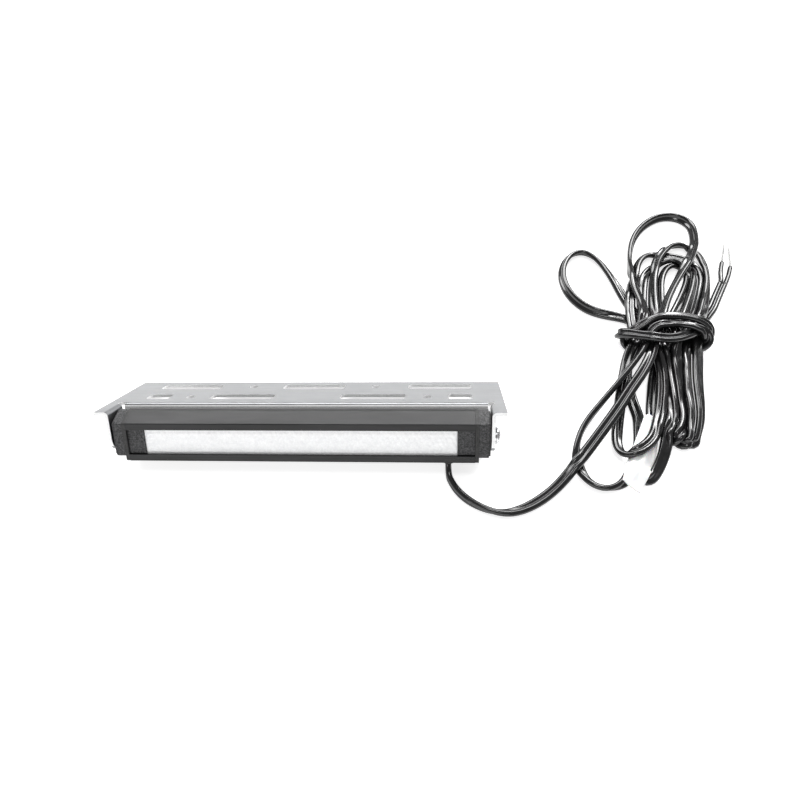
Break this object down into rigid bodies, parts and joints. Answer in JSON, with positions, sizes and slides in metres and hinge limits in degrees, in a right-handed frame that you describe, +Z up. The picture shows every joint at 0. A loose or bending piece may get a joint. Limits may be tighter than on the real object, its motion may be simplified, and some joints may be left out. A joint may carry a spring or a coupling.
{
  "type": "led light bar",
  "caption": "Slim LED light bar with opal lens, dark extruded housing and slotted tilting bracket, and a two-wire lead tied in a hank",
  "frame": {"origin": "Middle of the lamp's footprint box, on the surface it rests on; the tied lead lies to its right and is not counted", "axes": "+X along the bar towards the end where the lead leaves, +Y to the back, +Z up from the surface; the lamp leans back 35.6 degrees on its bracket's rear edge and its housing's rear bottom edge"},
  "size_m": [0.3204, 0.2096, 0.0297],
  "materials": {
    "galvanised_sheet": "satin",
    "bright_screw": "polished",
    "brass": "satin",
    "dark_anodised": "satin",
    "cap_plastic": "fine texture",
    "black_rubber": "matte",
    "opal_lens": "prismatic",
    "board": "satin",
    "pad": "matte",
    "phosphor": "satin",
    "chip_body": "matte",
    "terminal_body": "matte",
    "cord_vinyl": "glossy",
    "tinned_wire": "satin",
    "tag_paper": "matte"
  },
  "bodies": {
    "lamp": {"pivot_screws": "bright_screw", "spring_washers": "bright_screw", "pivot_inserts": "brass", "housing_profile": "dark_anodised", "end_cap_left": "cap_plastic", "end_cap_right": "cap_plastic", "end_gasket_left": "black_rubber", "end_gasket_right": "black_rubber", "end_cap_screws": "bright_screw", "lens": "opal_lens", "lens_seal": "black_rubber", "lens_block_left": "cap_plastic", "lens_block_right": "cap_plastic", "led_board": "board", "led_chips": "phosphor", "chip_resistors": "chip_body", "current_regulators": "chip_body", "polarity_diode": "chip_body", "wire_terminal": "terminal_body", "board_screws": "bright_screw", "thermal_pad": "pad", "inner_leads": "cord_vinyl", "cord_grommet": "black_rubber", "lead_run": "cord_vinyl", "lead_hank": "cord_vinyl", "hank_tie": "cord_vinyl", "lead_tail": "cord_vinyl", "leg_positive": "cord_vinyl", "leg_negative": "cord_vinyl", "bare_wires": "tinned_wire", "lead_tag": "tag_paper"},
    "bracket": {"mounting_bracket": "galvanised_sheet"}
  },
  "joints": [
    {"name": "bracket_tilt", "type": "hinge", "parent": "lamp", "child": "bracket", "pos_m": [0, -0.0155, 0.01552], "axis": [1, 0, 0], "range_deg": [-20, 12]}
  ]
}
